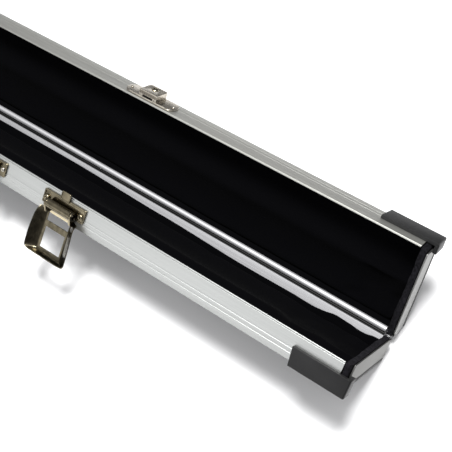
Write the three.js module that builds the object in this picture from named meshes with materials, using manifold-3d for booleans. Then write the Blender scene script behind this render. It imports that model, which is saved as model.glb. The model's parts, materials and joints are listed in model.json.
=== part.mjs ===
// Two-half aluminium cue case, standing open on its hinge side as a V.
// Millimetres, +Z up, X along the case. The case is modelled shut, with the hinge axis on X at
// y = 0, z = 0: the base lies below z = 0, the lid above it, and the latch side is towards -Y.
// The lid is then turned open to the hinge stop and the whole case is tipped onto its two long
// outer edges.
import * as THREE from 'three';
import Module from 'manifold-3d';
import { mergeVertices } from 'three/addons/utils/BufferGeometryUtils.js';

const wasm = await Module();
wasm.setup();

// ---- driving dimensions ----
const LENGTH = 850;
const WIDTH = 90;
const TRAY_DEPTH = 24;
const OPEN_ANGLE = THREE.MathUtils.degToRad(76.3);

const GAP = 0.3;
const MOUTH_GAP = 0.15;
const RAIL_WALL = 1.6;
const RAIL_FLANGE = 9;
const FLANGE_THICK = 1.2;
const PANEL_THICK = 1.6;
const END_BLOCK = 5.9;
const END_PLATE = 1.3;

const AXIS_INSET = 0.3;
const BEAD_R = 1.05;
const SOCKET_R = 1.2;
const HOOK_R = 1.9;
const BEAD_CLEARANCE = 0.25;
const NECK_THICK = 0.6;
const NECK_LONG = 2.2;
const NECK_MIDDLE = 1.3;
const NECK_CLEARANCE = 0.1;
const HOOK_RELIEF = 0.4;
const RELIEF_TOP = 0.1 - HOOK_R;
const NOSE_R = 2.7;
const NOSE_IN = 3.6;
const NOSE_UP = 1.4;

const LIP_THICK = 1.9;
const LIP_DEEP = 2.2;
const GROOVE_CUT = 0.5;
const GROOVES = [{ depth: 1.1, wide: 0.7 }, { depth: 13.2, wide: 0.9 }, { depth: 17.3, wide: 0.9 }];

const LINING = 1.6;
const BARE_RAIL = 6;
const RIDGE_DEPTH = 12.5;
const CHANNEL_DEPTH = 18.3;
const NOSE_TO_LINING = 0.6;
const LATCH_LINING_FROM = 2.6;
const BLOCK_CHAMFER = 3.5;
const PLATE_INSET = 0.4;
const PLATE_FROM_LATCH_FACE = 4.2;

const CAP_LEG = 47;
const CAP_END_LEG = 6.5;
const CAP_FROM_MOUTH = 10.5;
const CAP_PROUD = 3.5;
const CAP_BEVEL = 2.2;

const LATCH_X = 135;
const PLATE_WIDE = 48;
const PLATE_TOP = -4;
const PLATE_LOW = -17;
const PLATE_FACE = 1.6;
const TAB_WIDE = 10.4;
const TAB_TOP = 2.6;
const TAB_IN = 1.9;
const TAB_OUT = 3.1;
const TAB_FOOT = 1.4;
const TONGUE_TIP = 1 - TRAY_DEPTH;
const PLATE_SINK = 0.4;
const PIVOT_OUT = 6;
const PIVOT_DOWN = -13.5;
const BARREL_R = 4.1;
const BARREL_HALF = 13;
const BARREL_WEB = { half: 2.4, from: 1, to: 3.4 };
const PIN_R = 2.9;
const PIN_BORE_R = 2.3;
const EYE_R = 4.1;
const EYE_THICK = 2.2;
const EYE_BACK = 3.4;
const PIN_PROUD = 1;
const LATCH_RIVET = { apart: 19.9, z: -11.6, radius: 3.1, height: 1.6 };

const LEVER_LONG = 47;
const LEVER_START = 5.3;
const LEVER_HALF_TOP = 20;
const LEVER_HALF_TIP = 22.6;
const LEVER_SKIN = 1.2;
const LEVER_FACE = -5.1;
const LEVER_RIM = 3.9;
const LEVER_WALL = 1.6;
const LEVER_CHAMFER = 3;
const SLOT = { half: 13.2, from: 5.3, to: 16.8 };
const WINDOW = { half: 12.4, from: 23, to: 41.6 };

const KEEPER_EDGE_HALF = 20.5;
const KEEPER_HALF = 27.5;
const KEEPER_FROM = 3;
const KEEPER_TO = 21;
const LOCK_HALF = 10.2;
const LOCK_FROM = 3.3;
const LOCK_TO = 20.6;
const LOCK_FACE = 8.6;
const LOCK_CYLINDER_R = 3.2;
const LOCK_CYLINDER_UP = 13.8;
const LOCK_CHAMFER = 1.2;
const CYLINDER_BACK = 2.1;
const CYLINDER_PROUD = 0.4;
const KEY_SLOT = { half: 0.5, reach: 2.2, deep: 1.6 };
const TAB_SLOT = { clearance: 0.5, out: 4.2, to: 8 };
const KEEPER_RIVET = { apart: 24.4, z: 12, radius: 1.7, height: 0.9 };

const HANDLE_HALF = 50;
const HANDLE_PIVOT_DOWN = -9.5;
const HANDLE_PIVOT_OUT = 5.2;
const HANDLE_REACH = 36;
const HANDLE_ARM = 6;
const HANDLE_ARM_HALF = 2.6;
const HANDLE_PIN_R = 1.6;
const HANDLE_EYE_R = 3;
const GRIP_IN = 4;
const GRIP_OUT = 5;
const GRIP_HALF = 6.5;
const GRIP_CHAMFER = 2.5;
const BRACKET = { half: 14, top: -4, low: -18, ear: 0.9, foot: 1 };
const HANDLE_RIVET = { apart: 10.4, z: -11, radius: 2.2, height: 1.2 };

const HALF = LENGTH / 2;
const RAIL_HALF = HALF - END_BLOCK - END_PLATE - 2 * GAP;
const BLOCK_OUT = HALF - END_PLATE - GAP;
const PANEL_OUT = TRAY_DEPTH - FLANGE_THICK - GAP;
const PANEL_IN = PANEL_OUT - PANEL_THICK;
const INNER_DEPTH = PANEL_IN - GAP;

// ---- materials ----
const finish = (color, roughness, metalness) =>
  new THREE.MeshStandardMaterial({ color, roughness, metalness });
const aluminium = () => finish(0xc9cbcc, 0.35, 0.9);
const endAluminium = () => finish(0xa9a9a6, 0.45, 0.9);
const nickel = () => finish(0x8d8470, 0.12, 1);
const paleNickel = () => finish(0xcfc6b8, 0.2, 1);
const velvet = () => finish(0x0c0c0e, 0.95, 0);
const laminate = () => finish(0x151515, 0.6, 0);
const blackPlastic = () => finish(0x3a3a3a, 0.55, 0);
const steel = () => finish(0xb5b5b5, 0.3, 1);

// ---- solids ----
function solid(geometry) {
  const bare = geometry.clone();
  bare.deleteAttribute('normal');
  bare.deleteAttribute('uv');
  const merged = mergeVertices(bare, 1e-5);
  return new wasm.Manifold(new wasm.Mesh({
    numProp: 3,
    vertProperties: Float32Array.from(merged.attributes.position.array),
    triVerts: Uint32Array.from(merged.index.array),
  }));
}

function geometryOf(manifold) {
  const mesh = manifold.getMesh();
  const geometry = new THREE.BufferGeometry();
  geometry.setAttribute('position', new THREE.BufferAttribute(mesh.vertProperties, 3));
  geometry.setIndex(new THREE.BufferAttribute(mesh.triVerts, 1));
  geometry.computeVertexNormals();
  return geometry;
}

// A box between two corners given in either order.
function block(x0, x1, y0, y1, z0, z1) {
  const box = new THREE.BoxGeometry(Math.abs(x1 - x0), Math.abs(y1 - y0), Math.abs(z1 - z0));
  return solid(box.translate((x0 + x1) / 2, (y0 + y1) / 2, (z0 + z1) / 2));
}

function rodX(x0, x1, y, z, radius, sides = 24) {
  const rod = new THREE.CylinderGeometry(radius, radius, x1 - x0, sides);
  return solid(rod.rotateZ(Math.PI / 2).translate((x0 + x1) / 2, y, z));
}

function rodY(x, z, y0, y1, radius, sides = 20) {
  const rod = new THREE.CylinderGeometry(radius, radius, Math.abs(y1 - y0), sides);
  return solid(rod.translate(x, (y0 + y1) / 2, z));
}

// An outline drawn in the YZ plane, drawn out along X.
function profileX(points, x0, x1) {
  const shape = new THREE.Shape(points.map(([y, z]) => new THREE.Vector2(y, z)));
  const geometry = new THREE.ExtrudeGeometry(shape, { depth: x1 - x0, bevelEnabled: false });
  const turn = new THREE.Matrix4().makeBasis(
    new THREE.Vector3(0, 1, 0), new THREE.Vector3(0, 0, 1), new THREE.Vector3(1, 0, 0));
  return solid(geometry.applyMatrix4(turn).translate(x0, 0, 0));
}

// An outline drawn in the XZ plane, drawn out along Y from y0 to y1.
function profileY(points, y0, y1) {
  const shape = new THREE.Shape(points.map(([x, z]) => new THREE.Vector2(x, z)));
  const geometry = new THREE.ExtrudeGeometry(shape, { depth: y1 - y0, bevelEnabled: false });
  return solid(geometry.rotateX(Math.PI / 2).translate(0, y1, 0));
}

function chamferedBlockX(x0, x1, y0, y1, z0, z1, c) {
  return profileX([[y0 + c, z0], [y1 - c, z0], [y1, z0 + c], [y1, z1 - c],
    [y1 - c, z1], [y0 + c, z1], [y0, z1 - c], [y0, z0 + c]], x0, x1);
}

function addPart(parent, name, manifold, material) {
  const mesh = new THREE.Mesh(geometryOf(manifold), material);
  mesh.name = name;
  parent.add(mesh);
  return mesh;
}

// A strip of rail running the whole length between the end blocks.
const railStrip = (y0, y1, z0, z1) => block(-RAIL_HALF, RAIL_HALF, y0, y1, z0, z1);

// ---- hinge rails ----
// The base rail ends in a hook that holds the lid rail's bead; the sweep frees the bead's neck.
function baseHingeRail() {
  const outer = -AXIS_INSET;
  const neck = Math.asin(NECK_THICK / 2 / SOCKET_R) + NECK_CLEARANCE;
  const from = Math.PI * 0.75 - OPEN_ANGLE - neck;
  const to = Math.PI * 0.75 + neck;
  const reach = 2 * HOOK_R;
  const sweep = [[0, 0]];
  for (let i = 0; i <= 8; i += 1) {
    const angle = from + (to - from) * i / 8;
    sweep.push([reach * Math.cos(angle), reach * Math.sin(angle)]);
  }
  return railStrip(outer - RAIL_WALL, outer, -TRAY_DEPTH, 0)
    .add(railStrip(outer - RAIL_FLANGE, outer, -TRAY_DEPTH, FLANGE_THICK - TRAY_DEPTH))
    .add(rodX(-RAIL_HALF, RAIL_HALF, 0, 0, HOOK_R))
    .subtract(rodX(-HALF, HALF, 0, 0, SOCKET_R))
    .subtract(profileX(sweep, -HALF, HALF))
    .subtract(block(-HALF, HALF, outer - HOOK_RELIEF, HOOK_R, -HOOK_R - HOOK_RELIEF, RELIEF_TOP))
    .subtract(rodX(-HALF, HALF, -NOSE_IN, NOSE_UP, NOSE_R + GAP));
}

function lidHingeRail() {
  const outer = -AXIS_INSET;
  const neck = solid(new THREE.BoxGeometry(2 * RAIL_HALF, NECK_LONG, NECK_THICK)
    .translate(0, -NECK_MIDDLE, 0).rotateX(-Math.PI / 4));
  return railStrip(outer - RAIL_WALL, outer, NOSE_UP, TRAY_DEPTH)
    .add(railStrip(outer - RAIL_FLANGE, outer, TRAY_DEPTH - FLANGE_THICK, TRAY_DEPTH))
    .add(rodX(-RAIL_HALF, RAIL_HALF, -NOSE_IN, NOSE_UP, NOSE_R, 32))
    .subtract(rodX(-HALF, HALF, 0, 0, HOOK_R + BEAD_CLEARANCE))
    .add(rodX(-RAIL_HALF, RAIL_HALF, 0, 0, BEAD_R))
    .add(neck);
}

// ---- one tray: side is -1 for the base and +1 for the lid ----
function latchRail(side) {
  const face = -WIDTH;
  let rail = railStrip(face, face + RAIL_WALL, side * MOUTH_GAP, side * TRAY_DEPTH)
    .add(railStrip(face, face + LIP_THICK, side * MOUTH_GAP, side * LIP_DEEP))
    .add(railStrip(face, face + RAIL_FLANGE, side * (TRAY_DEPTH - FLANGE_THICK), side * TRAY_DEPTH));
  for (const { depth, wide } of GROOVES) {
    rail = rail.subtract(
      block(-HALF, HALF, face - GROOVE_CUT, face + GROOVE_CUT, side * depth, side * (depth + wide)));
  }
  return rail;
}

function panel(side) {
  return block(-HALF, HALF, -WIDTH + RAIL_WALL + GAP, -AXIS_INSET - RAIL_WALL - GAP,
    side * PANEL_IN, side * PANEL_OUT);
}

// The floor pad has two cue channels with a ridge between them.
function floorPad(side) {
  const near = -AXIS_INSET - RAIL_WALL - LINING - 2 * GAP;
  const far = -WIDTH + RAIL_WALL + LINING + 2 * GAP;
  const half = (near - far) / 4;
  const points = [[near, side * INNER_DEPTH], [near, side * RIDGE_DEPTH]];
  for (const middle of [near - half, far + half]) {
    for (let i = 1; i <= 10; i += 1) {
      const t = Math.PI * i / 10;
      const depth = RIDGE_DEPTH + (CHANNEL_DEPTH - RIDGE_DEPTH) * Math.sin(t);
      points.push([middle + half * Math.cos(t), side * depth]);
    }
  }
  points.push([far, side * INNER_DEPTH]);
  return profileX(points, -RAIL_HALF, RAIL_HALF);
}

function hingeLining(side) {
  const outer = -AXIS_INSET - RAIL_WALL - GAP;
  const from = side < 0 ? BARE_RAIL : NOSE_UP + NOSE_R + NOSE_TO_LINING;
  return railStrip(outer - LINING, outer, side * from, side * INNER_DEPTH);
}

function latchLining(side) {
  const outer = -WIDTH + RAIL_WALL + GAP;
  return railStrip(outer, outer + LINING, side * LATCH_LINING_FROM, side * INNER_DEPTH);
}

function endBlock(side, end) {
  const x0 = end * (BLOCK_OUT - END_BLOCK);
  const x1 = end * BLOCK_OUT;
  const points = [[x0, -AXIS_INSET], [x1, -AXIS_INSET], [x1, BLOCK_CHAMFER - WIDTH],
    [x1 - end * BLOCK_CHAMFER, -WIDTH], [x0, -WIDTH]];
  const shape = new THREE.Shape(points.map(([x, y]) => new THREE.Vector2(x, y)));
  const depth = INNER_DEPTH - MOUTH_GAP;
  const geometry = new THREE.ExtrudeGeometry(shape, { depth, bevelEnabled: false });
  return solid(geometry.translate(0, 0, side < 0 ? -INNER_DEPTH : MOUTH_GAP));
}

function endPlate(side, end) {
  return block(end * (HALF - END_PLATE), end * HALF,
    -AXIS_INSET - PLATE_INSET, PLATE_FROM_LATCH_FACE - WIDTH,
    side * (MOUTH_GAP + PLATE_INSET), side * INNER_DEPTH);
}

// A square bar turned 45 degrees about its own length, which cuts a bevel along an edge.
function bevelBar(x, y, z, axis) {
  const thick = CAP_BEVEL * Math.SQRT2;
  const long = 3 * CAP_LEG;
  const size = { x: thick, y: thick, z: thick, [axis]: long };
  const bar = new THREE.BoxGeometry(size.x, size.y, size.z);
  const turn = new THREE.Matrix4().makeRotationAxis(
    new THREE.Vector3(Number(axis === 'x'), Number(axis === 'y'), Number(axis === 'z')), Math.PI / 4);
  return solid(bar.applyMatrix4(turn).translate(x, y, z));
}

// A three-faced corner protector: latch side, end and panel.
function cornerCap(side, end) {
  const x0 = end * (HALF - CAP_LEG);
  const x1 = end * (HALF + CAP_PROUD);
  const y0 = -WIDTH - CAP_PROUD;
  const y1 = CAP_END_LEG - WIDTH;
  const z0 = side * CAP_FROM_MOUTH;
  const z1 = side * (TRAY_DEPTH + CAP_PROUD);
  const inside = block(-end * HALF, end * (HALF + GAP), -GAP - WIDTH, 0, 0, side * (TRAY_DEPTH + GAP));
  return block(x0, x1, y0, y1, z0, z1)
    .subtract(inside)
    .subtract(bevelBar(x0, y0, z1, 'x'))
    .subtract(bevelBar(x1, y0, z0, 'z'))
    .subtract(bevelBar(x1, y0, z1, 'y'));
}

function buildTray(parent, name, side) {
  const hinge = side < 0 ? baseHingeRail() : lidHingeRail();
  addPart(parent, `${name}_hinge_rail`, hinge, aluminium());
  addPart(parent, `${name}_latch_rail`, latchRail(side), aluminium());
  addPart(parent, `${name}_panel`, panel(side), laminate());
  addPart(parent, `${name}_floor_pad`, floorPad(side), velvet());
  addPart(parent, `${name}_hinge_lining`, hingeLining(side), velvet());
  addPart(parent, `${name}_latch_lining`, latchLining(side), velvet());
  for (const [end, label] of [[-1, 'left'], [1, 'right']]) {
    addPart(parent, `${name}_end_block_${label}`, endBlock(side, end), velvet());
    addPart(parent, `${name}_end_plate_${label}`, endPlate(side, end), endAluminium());
    addPart(parent, `${name}_corner_cap_${label}`, cornerCap(side, end), blackPlastic());
  }
}

// ---- latch: y is measured outward from the latch face, so solids sit at -WIDTH - out ----
const out = (distance) => -WIDTH - distance;

function latchPlate(x) {
  const half = PLATE_WIDE / 2;
  const tab = TAB_WIDE / 2;
  const foot = PLATE_TOP - TAB_FOOT;
  const { half: web, from, to } = BARREL_WEB;
  const centred = (reach, out0, out1, z0, z1) => block(x - reach, x + reach, out(out0), out(out1), z0, z1);
  return centred(half, GAP, PLATE_FACE, PLATE_TOP, PLATE_LOW)
    .add(centred(BARREL_HALF, GAP, PLATE_FACE, PLATE_LOW, TONGUE_TIP))
    .add(centred(tab, PLATE_FACE - PLATE_SINK, TAB_OUT, foot, PLATE_TOP))
    .add(centred(tab, TAB_IN, TAB_OUT, foot, TAB_TOP))
    .add(rodX(x - BARREL_HALF, x + BARREL_HALF, out(PIVOT_OUT), PIVOT_DOWN, BARREL_R))
    .add(centred(BARREL_HALF, from, to, PIVOT_DOWN - web, PIVOT_DOWN + web))
    .subtract(rodX(x - HALF, x + HALF, out(PIVOT_OUT), PIVOT_DOWN, PIN_R + GAP));
}

function latchPin(x) {
  const half = BARREL_HALF + EYE_THICK + PIN_PROUD;
  return rodX(x - half, x + half, out(PIVOT_OUT), PIVOT_DOWN, PIN_R)
    .subtract(rodX(x - HALF, x + HALF, out(PIVOT_OUT), PIVOT_DOWN, PIN_BORE_R, 16));
}

// The lever hangs below its pivot: a dished frame with a slot, a cross bar and a window.
function lever(x) {
  const y0 = out(PIVOT_OUT + LEVER_FACE);
  const y1 = out(PIVOT_OUT + LEVER_RIM);
  const c = LEVER_CHAMFER;
  const z = (along) => PIVOT_DOWN - along;
  const frame = (inset) => [[x - LEVER_HALF_TOP + inset, z(LEVER_START + inset)],
    [x + LEVER_HALF_TOP - inset, z(LEVER_START + inset)],
    [x + LEVER_HALF_TIP - inset, z(LEVER_LONG - c - inset)],
    [x + LEVER_HALF_TIP - c - inset, z(LEVER_LONG - inset)],
    [x - LEVER_HALF_TIP + c + inset, z(LEVER_LONG - inset)],
    [x - LEVER_HALF_TIP + inset, z(LEVER_LONG - c - inset)]];
  const opening = ({ half, from, to }) => block(x - half, x + half, y0 + 1, y1 - 1, z(from), z(to));
  const toPivot = LEVER_WALL;
  let body = profileY(frame(0), y1, y0)
    .subtract(profileY(frame(LEVER_WALL), y1 - 1, y0 - LEVER_SKIN))
    .subtract(opening({ ...SLOT, from: SLOT.from - toPivot }))
    .subtract(opening(WINDOW));
  for (const hand of [-1, 1]) {
    const a = x + hand * (BARREL_HALF + GAP);
    const b = x + hand * (BARREL_HALF + GAP + EYE_THICK);
    const arm = block(a, b, out(PIVOT_OUT - EYE_BACK), out(PIVOT_OUT + LEVER_RIM),
      PIVOT_DOWN, z(LEVER_START + toPivot));
    body = body.add(rodX(Math.min(a, b), Math.max(a, b), out(PIVOT_OUT), PIVOT_DOWN, EYE_R)).add(arm);
  }
  return body.subtract(rodX(x - HALF, x + HALF, out(PIVOT_OUT), PIVOT_DOWN, PIN_R + GAP));
}

function keeperPlate(x) {
  const middle = (KEEPER_FROM + KEEPER_TO) / 2;
  const reach = (KEEPER_TO - KEEPER_FROM) / 2;
  const points = [];
  for (const hand of [1, -1]) {
    for (let i = 0; i <= 8; i += 1) {
      const angle = -Math.PI / 2 + Math.PI * i / 8;
      const bulge = (KEEPER_HALF - KEEPER_EDGE_HALF) * Math.cos(angle);
      points.push([x + hand * (KEEPER_EDGE_HALF + bulge), middle + hand * reach * Math.sin(angle)]);
    }
  }
  const c = LOCK_CHAMFER;
  const lock = profileY([[x - LOCK_HALF + c, LOCK_FROM], [x + LOCK_HALF - c, LOCK_FROM],
    [x + LOCK_HALF, LOCK_FROM + c], [x + LOCK_HALF, LOCK_TO - c], [x + LOCK_HALF - c, LOCK_TO],
    [x - LOCK_HALF + c, LOCK_TO], [x - LOCK_HALF, LOCK_TO - c], [x - LOCK_HALF, LOCK_FROM + c]],
    out(LOCK_FACE), out(PLATE_FACE - PLATE_SINK));
  const slotHalf = TAB_WIDE / 2 + TAB_SLOT.clearance;
  const seat = out(LOCK_FACE - CYLINDER_BACK - GAP);
  return profileY(points, out(PLATE_FACE), out(GAP))
    .add(lock)
    .subtract(block(x - slotHalf, x + slotHalf, out(PLATE_FACE), out(TAB_SLOT.out), 0, TAB_SLOT.to))
    .subtract(rodY(x, LOCK_CYLINDER_UP, seat, out(LOCK_FACE + 1), LOCK_CYLINDER_R + GAP));
}

function lockCylinder(x) {
  const { half, reach, deep } = KEY_SLOT;
  const face = LOCK_FACE + CYLINDER_PROUD;
  return rodY(x, LOCK_CYLINDER_UP, out(LOCK_FACE - CYLINDER_BACK), out(face), LOCK_CYLINDER_R)
    .subtract(block(x - half, x + half, out(face - deep), out(face + 1),
      LOCK_CYLINDER_UP - reach, LOCK_CYLINDER_UP + reach));
}

// A rivet head with a low domed top, standing on a plate face.
function rivet(x, { z, radius, height }) {
  const profile = [[0, 0], [radius, 0], [radius, height * 0.35], [radius * 0.75, height * 0.8], [0, height]];
  const head = new THREE.LatheGeometry(profile.map(([r, h]) => new THREE.Vector2(r, h)), 16);
  return solid(head.rotateX(Math.PI).translate(x, out(PLATE_FACE + GAP), z));
}

function buildLatch(base, lid, label, x) {
  addPart(base, `latch_plate_${label}`, latchPlate(x), nickel());
  addPart(base, `latch_pin_${label}`, latchPin(x), steel());
  addPart(base, `latch_lever_${label}`, lever(x), nickel());
  addPart(lid, `keeper_${label}`, keeperPlate(x), paleNickel());
  addPart(lid, `lock_cylinder_${label}`, lockCylinder(x), nickel());
  for (const [hand, side] of [[-1, 'a'], [1, 'b']]) {
    const plateRivet = rivet(x + hand * LATCH_RIVET.apart, LATCH_RIVET);
    addPart(base, `latch_rivet_${label}_${side}`, plateRivet, nickel());
    const keeperRivet = rivet(x + hand * KEEPER_RIVET.apart, KEEPER_RIVET);
    addPart(lid, `keeper_rivet_${label}_${side}`, keeperRivet, paleNickel());
  }
}

// ---- carrying handle, folded down against the latch face of the base ----
function handleBracket(x) {
  const { half, top, low, ear, foot } = BRACKET;
  const y = out(HANDLE_PIVOT_OUT);
  const z = HANDLE_PIVOT_DOWN;
  let bracket = block(x - half, x + half, out(GAP), out(PLATE_FACE), top, low);
  for (const side of [-1, 1]) {
    const middle = x + side * (HANDLE_ARM / 2 + GAP + ear);
    bracket = bracket
      .add(block(middle - ear, middle + ear, out(foot), y, z - HANDLE_EYE_R, z + HANDLE_EYE_R))
      .add(rodX(middle - ear, middle + ear, y, z, HANDLE_EYE_R));
  }
  return bracket.subtract(rodX(x - half, x + half, y, z, HANDLE_PIN_R + GAP, 16));
}

function handleGrip() {
  const y = out(HANDLE_PIVOT_OUT);
  const low = HANDLE_PIVOT_DOWN - HANDLE_REACH;
  const arm = HANDLE_ARM / 2;
  const reach = HANDLE_HALF + arm;
  let grip = chamferedBlockX(-reach, reach, y - GRIP_OUT, y + GRIP_IN, low - GRIP_HALF, low + GRIP_HALF,
    GRIP_CHAMFER);
  for (const hand of [-1, 1]) {
    const x = hand * HANDLE_HALF;
    grip = grip
      .add(block(x - arm, x + arm, y - HANDLE_ARM_HALF, y + HANDLE_ARM_HALF, low, HANDLE_PIVOT_DOWN))
      .add(rodX(x - arm, x + arm, y, HANDLE_PIVOT_DOWN, HANDLE_EYE_R));
  }
  return grip.subtract(rodX(-HALF, HALF, y, HANDLE_PIVOT_DOWN, HANDLE_PIN_R + GAP, 16));
}

function buildHandle(base) {
  addPart(base, 'handle_grip', handleGrip(), blackPlastic());
  const half = HANDLE_ARM / 2 + HANDLE_EYE_R;
  for (const [hand, label] of [[-1, 'left'], [1, 'right']]) {
    const x = hand * HANDLE_HALF;
    addPart(base, `handle_bracket_${label}`, handleBracket(x), nickel());
    const pin = rodX(x - half, x + half, out(HANDLE_PIVOT_OUT), HANDLE_PIVOT_DOWN, HANDLE_PIN_R, 16);
    addPart(base, `handle_pin_${label}`, pin, steel());
    for (const [side, place] of [[-1, 'a'], [1, 'b']]) {
      const head = rivet(x + side * HANDLE_RIVET.apart, HANDLE_RIVET);
      addPart(base, `handle_rivet_${label}_${place}`, head, steel());
    }
  }
}

// ---- assembly ----
const base = new THREE.Group();
const lid = new THREE.Group();
buildTray(base, 'base', -1);
buildTray(lid, 'lid', 1);
buildLatch(base, lid, 'left', -LATCH_X);
buildLatch(base, lid, 'right', LATCH_X);
buildHandle(base);
lid.rotation.x = -OPEN_ANGLE;

// Tip the open case so that both outer hinge-side edges lie on one level.
const baseEdge = new THREE.Vector2(-AXIS_INSET, -TRAY_DEPTH);
const lidEdge = new THREE.Vector2(-AXIS_INSET, TRAY_DEPTH)
  .rotateAround(new THREE.Vector2(), -OPEN_ANGLE);
const tilt = Math.atan2(lidEdge.y - baseEdge.y, lidEdge.x - baseEdge.x);

const tipped = new THREE.Group();
tipped.add(base, lid);
tipped.rotation.x = -tilt;

// The origin is the middle of the bounding box, at its lowest level.
const cueCase = new THREE.Group();
cueCase.add(tipped);
cueCase.updateMatrixWorld(true);
const bounds = new THREE.Box3().setFromObject(cueCase, true);
const centre = bounds.getCenter(new THREE.Vector3());
tipped.position.set(-centre.x, -centre.y, -bounds.min.z);
cueCase.updateMatrixWorld(true);

export default cueCase;
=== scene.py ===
"""The looks of an aluminium cue case that stands open as a V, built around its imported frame.

Each tray is modelled in its own axes, in millimetres: X along the case, Y towards the hinge side
(the latch face is at y = -90) and Z across the joint plane, so the base lies at z < 0 and the lid at
z > 0. A tray's matrix turns those millimetres into metres in the row frame.
"""

import json
import math

import bmesh
import bpy
from mathutils import Matrix, Vector, noise


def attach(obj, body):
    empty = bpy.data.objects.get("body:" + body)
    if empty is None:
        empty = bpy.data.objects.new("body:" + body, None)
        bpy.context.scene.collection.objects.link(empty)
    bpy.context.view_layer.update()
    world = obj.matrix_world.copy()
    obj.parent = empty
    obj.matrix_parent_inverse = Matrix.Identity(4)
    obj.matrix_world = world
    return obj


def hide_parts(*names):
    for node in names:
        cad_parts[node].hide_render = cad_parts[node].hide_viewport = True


MM = 0.001

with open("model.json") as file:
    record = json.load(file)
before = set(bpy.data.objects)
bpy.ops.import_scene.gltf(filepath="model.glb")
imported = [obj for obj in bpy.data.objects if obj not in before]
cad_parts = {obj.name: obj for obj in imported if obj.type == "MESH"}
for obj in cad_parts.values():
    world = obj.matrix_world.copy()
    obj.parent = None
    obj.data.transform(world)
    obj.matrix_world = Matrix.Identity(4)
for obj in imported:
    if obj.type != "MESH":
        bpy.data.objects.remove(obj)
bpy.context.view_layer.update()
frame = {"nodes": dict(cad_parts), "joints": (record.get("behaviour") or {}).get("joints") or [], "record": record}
record = frame["record"]


# ---- the two trays ----
class Tray:
    """One half of the case: its body, its axes in the row frame and its side of the joint plane."""

    def __init__(self, body, side):
        mounts = {mount["name"]: mount for mount in record["mounts"]}
        hinge = next(joint for joint in frame["joints"] if joint["name"] == "lid_hinge")
        axis_x = Vector((1, 0, 0))
        axis_y = Vector(mounts[f"{body}_hinge_side"]["axis"])
        turn = Matrix((axis_x, axis_y, axis_x.cross(axis_y))).transposed().to_4x4()
        self.body = body
        self.side = side
        self.matrix = Matrix.Translation(Vector(hinge["pos_m"])) @ turn @ Matrix.Scale(MM, 4)

    def box(self, node):
        """Lowest and highest corner of a CAD node in this tray's millimetres."""
        back = self.matrix.inverted()
        points = [back @ vertex.co for vertex in frame["nodes"][node].data.vertices]
        low = Vector(min(point[i] for point in points) for i in range(3))
        high = Vector(max(point[i] for point in points) for i in range(3))
        return low, high


BASE = Tray("base", -1)
LID = Tray("lid", 1)
ENDS = ((-1, "left"), (1, "right"))

# ---- sizes read from the frame, in mm ----
rail_low, rail_high = LID.box("lid_latch_rail")
RAIL_HALF = rail_high.x
LATCH_FACE = rail_low.y
DEPTH = rail_high.z
MOUTH = rail_low.z
FLANGE = rail_high.y - LATCH_FACE
HALF = LID.box("lid_panel")[1].x
pad_low, pad_high = LID.box("lid_floor_pad")
PAD_FAR, PAD_NEAR = pad_low.y, pad_high.y
PAD_UNDER = pad_high.z
RIDGE = pad_low.z
pin_low, pin_high = BASE.box("latch_pin_right")
LATCH_X, PIVOT_Y, PIVOT_Z = (pin_low + pin_high) / 2
PIN_HALF, PIN_R = (pin_high.x - pin_low.x) / 2, (pin_high.y - pin_low.y) / 2
handle_pin_low, handle_pin_high = BASE.box("handle_pin_right")
HANDLE_X, HANDLE_Y, HANDLE_Z = (handle_pin_low + handle_pin_high) / 2
lock_low, lock_high = LID.box("lock_cylinder_right")
LOCK_Z = (lock_low.z + lock_high.z) / 2
LOCK_R = (lock_high.x - lock_low.x) / 2

# ---- sizes of fine detail, in mm ----
WALL = 1.6
FLANGE_THICK = 1.2
# The hinge side: the rails' outer face, and the round nose of the lid's rail.
OUTER_Y = -0.3
NOSE = (-3.6, 1.4)
NOSE_R = 2.7
# The hinge: the lid's bead in its recess, and the base's hook round it, clear of the nose.
BEAD_R = 1.05
RECESS_R = 2.15
HOOK_BORE_R = 1.2
HOOK_R = 1.9
NOSE_CLEAR = 0.9
# Deepest point of a cue channel, and how far the cloth of a floor or an end wall may swell.
CHANNEL = 18.3
FLOOR_SWELL = 1.3
END_SWELL = 0.5
# How much of an end plate's height the black panel's edge takes.
PANEL_EDGE = 1.6
PANEL_PROUD = 0.3
# Corner caps: legs along the case and its end, and how far they stand off it.
CAP_LEG = 47
CAP_END_LEG = 6.5
CAP_FROM_MOUTH = 10.5
CAP_PROUD = 3.5
CAP_THICK = 3.3
CAP_SLANT = 2.4
CAP_ROUND = 1.5
# Latches: play round a pin, radius of a rolled eye, and where the lever's eyes lie along it.
PIN_PLAY = 0.25
EYE_R = 4.1
EYE_FROM, EYE_TO = 13.3, 15.5
BARREL_HALF = 13
LATCH_RIVET_R = 3.1
KEEPER_RIVET_R = 1.35
KEEPER_RIVET_FLAT = 0.6
# Handle: eye radius and the holes of its eyes and ears.
HANDLE_EYE_R = 3.0
HANDLE_EYE_HOLE_R = 1.9
HANDLE_EAR_HOLE_R = 1.85
HANDLE_RIVET_R = 2.2


# ---- mesh helpers ----
def arc(centre, radius, start, end, steps):
    """Points on an arc between two angles in degrees, both ends included."""
    points = []
    for i in range(steps + 1):
        angle = math.radians(start + (end - start) * i / steps)
        points.append((centre[0] + radius * math.cos(angle), centre[1] + radius * math.sin(angle)))
    return points


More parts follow.
